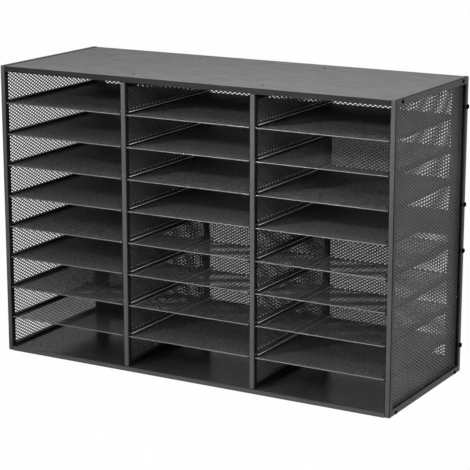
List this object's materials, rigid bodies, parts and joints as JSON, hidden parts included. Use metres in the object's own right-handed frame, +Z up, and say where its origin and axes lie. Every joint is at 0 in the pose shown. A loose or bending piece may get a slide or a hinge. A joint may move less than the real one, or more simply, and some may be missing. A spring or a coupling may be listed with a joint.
{
  "type": "mail sorter",
  "caption": "Free-standing black steel mesh mail sorter: open paper slots on pull-out mesh shelves between mesh walls, under a grey laminate top board.",
  "frame": {"origin": "on the floor, under the middle of the cabinet", "axes": "+X along the width to the viewer's right, +Y from the open front to the back, +Z up"},
  "size_m": [0.791, 0.3, 0.536],
  "materials": {
    "top_laminate": "satin",
    "bottom_laminate": "satin",
    "frame_paint": "satin",
    "mesh_paint": "satin",
    "shelf_paint": "satin",
    "rail_paint": "satin",
    "screw_steel": "satin"
  },
  "bodies": {
    "cabinet": {"back_screws": "screw_steel", "bottom_board": "bottom_laminate", "bottom_board_screws": "screw_steel", "divider_1_frame": "frame_paint", "divider_1_left_rails": "rail_paint", "divider_1_mesh": "mesh_paint", "divider_1_right_rails": "rail_paint", "divider_2_frame": "frame_paint", "divider_2_left_rails": "rail_paint", "divider_2_mesh": "mesh_paint", "divider_2_right_rails": "rail_paint", "left_side_frame": "frame_paint", "left_side_mesh": "mesh_paint", "left_side_rails": "rail_paint", "lower_back_frame": "frame_paint", "lower_back_mesh": "mesh_paint", "right_side_frame": "frame_paint", "right_side_mesh": "mesh_paint", "right_side_rails": "rail_paint", "side_screws": "screw_steel", "top_board": "top_laminate", "top_board_screws": "screw_steel", "upper_back_frame": "frame_paint", "upper_back_mesh": "mesh_paint"},
    "shelf_1_1": {"shelf_1_1": "shelf_paint"},
    "shelf_1_2": {"shelf_1_2": "shelf_paint"},
    "shelf_1_3": {"shelf_1_3": "shelf_paint"},
    "shelf_1_4": {"shelf_1_4": "shelf_paint"},
    "shelf_1_5": {"shelf_1_5": "shelf_paint"},
    "shelf_1_6": {"shelf_1_6": "shelf_paint"},
    "shelf_1_7": {"shelf_1_7": "shelf_paint"},
    "shelf_1_8": {"shelf_1_8": "shelf_paint"},
    "shelf_2_1": {"shelf_2_1": "shelf_paint"},
    "shelf_2_2": {"shelf_2_2": "shelf_paint"},
    "shelf_2_3": {"shelf_2_3": "shelf_paint"},
    "shelf_2_4": {"shelf_2_4": "shelf_paint"},
    "shelf_2_5": {"shelf_2_5": "shelf_paint"},
    "shelf_2_6": {"shelf_2_6": "shelf_paint"},
    "shelf_2_7": {"shelf_2_7": "shelf_paint"},
    "shelf_2_8": {"shelf_2_8": "shelf_paint"},
    "shelf_3_1": {"shelf_3_1": "shelf_paint"},
    "shelf_3_2": {"shelf_3_2": "shelf_paint"},
    "shelf_3_3": {"shelf_3_3": "shelf_paint"},
    "shelf_3_4": {"shelf_3_4": "shelf_paint"},
    "shelf_3_5": {"shelf_3_5": "shelf_paint"},
    "shelf_3_6": {"shelf_3_6": "shelf_paint"},
    "shelf_3_7": {"shelf_3_7": "shelf_paint"},
    "shelf_3_8": {"shelf_3_8": "shelf_paint"}
  },
  "joints": [
    {"name": "shelf_1_1_slide", "type": "slide", "parent": "cabinet", "child": "shelf_1_1", "axis": [0, -1, 0], "range_m": [0, 0.25]},
    {"name": "shelf_1_2_slide", "type": "slide", "parent": "cabinet", "child": "shelf_1_2", "axis": [0, -1, 0], "range_m": [0, 0.25]},
    {"name": "shelf_1_3_slide", "type": "slide", "parent": "cabinet", "child": "shelf_1_3", "axis": [0, -1, 0], "range_m": [0, 0.25]},
    {"name": "shelf_1_4_slide", "type": "slide", "parent": "cabinet", "child": "shelf_1_4", "axis": [0, -1, 0], "range_m": [0, 0.25]},
    {"name": "shelf_1_5_slide", "type": "slide", "parent": "cabinet", "child": "shelf_1_5", "axis": [0, -1, 0], "range_m": [0, 0.25]},
    {"name": "shelf_1_6_slide", "type": "slide", "parent": "cabinet", "child": "shelf_1_6", "axis": [0, -1, 0], "range_m": [0, 0.25]},
    {"name": "shelf_1_7_slide", "type": "slide", "parent": "cabinet", "child": "shelf_1_7", "axis": [0, -1, 0], "range_m": [0, 0.25]},
    {"name": "shelf_1_8_slide", "type": "slide", "parent": "cabinet", "child": "shelf_1_8", "axis": [0, -1, 0], "range_m": [0, 0.25]},
    {"name": "shelf_2_1_slide", "type": "slide", "parent": "cabinet", "child": "shelf_2_1", "axis": [0, -1, 0], "range_m": [0, 0.25]},
    {"name": "shelf_2_2_slide", "type": "slide", "parent": "cabinet", "child": "shelf_2_2", "axis": [0, -1, 0], "range_m": [0, 0.25]},
    {"name": "shelf_2_3_slide", "type": "slide", "parent": "cabinet", "child": "shelf_2_3", "axis": [0, -1, 0], "range_m": [0, 0.25]},
    {"name": "shelf_2_4_slide", "type": "slide", "parent": "cabinet", "child": "shelf_2_4", "axis": [0, -1, 0], "range_m": [0, 0.25]},
    {"name": "shelf_2_5_slide", "type": "slide", "parent": "cabinet", "child": "shelf_2_5", "axis": [0, -1, 0], "range_m": [0, 0.25]},
    {"name": "shelf_2_6_slide", "type": "slide", "parent": "cabinet", "child": "shelf_2_6", "axis": [0, -1, 0], "range_m": [0, 0.25]},
    {"name": "shelf_2_7_slide", "type": "slide", "parent": "cabinet", "child": "shelf_2_7", "axis": [0, -1, 0], "range_m": [0, 0.25]},
    {"name": "shelf_2_8_slide", "type": "slide", "parent": "cabinet", "child": "shelf_2_8", "axis": [0, -1, 0], "range_m": [0, 0.25]},
    {"name": "shelf_3_1_slide", "type": "slide", "parent": "cabinet", "child": "shelf_3_1", "axis": [0, -1, 0], "range_m": [0, 0.25]},
    {"name": "shelf_3_2_slide", "type": "slide", "parent": "cabinet", "child": "shelf_3_2", "axis": [0, -1, 0], "range_m": [0, 0.25]},
    {"name": "shelf_3_3_slide", "type": "slide", "parent": "cabinet", "child": "shelf_3_3", "axis": [0, -1, 0], "range_m": [0, 0.25]},
    {"name": "shelf_3_4_slide", "type": "slide", "parent": "cabinet", "child": "shelf_3_4", "axis": [0, -1, 0], "range_m": [0, 0.25]},
    {"name": "shelf_3_5_slide", "type": "slide", "parent": "cabinet", "child": "shelf_3_5", "axis": [0, -1, 0], "range_m": [0, 0.25]},
    {"name": "shelf_3_6_slide", "type": "slide", "parent": "cabinet", "child": "shelf_3_6", "axis": [0, -1, 0], "range_m": [0, 0.25]},
    {"name": "shelf_3_7_slide", "type": "slide", "parent": "cabinet", "child": "shelf_3_7", "axis": [0, -1, 0], "range_m": [0, 0.25]},
    {"name": "shelf_3_8_slide", "type": "slide", "parent": "cabinet", "child": "shelf_3_8", "axis": [0, -1, 0], "range_m": [0, 0.25]}
  ]
}
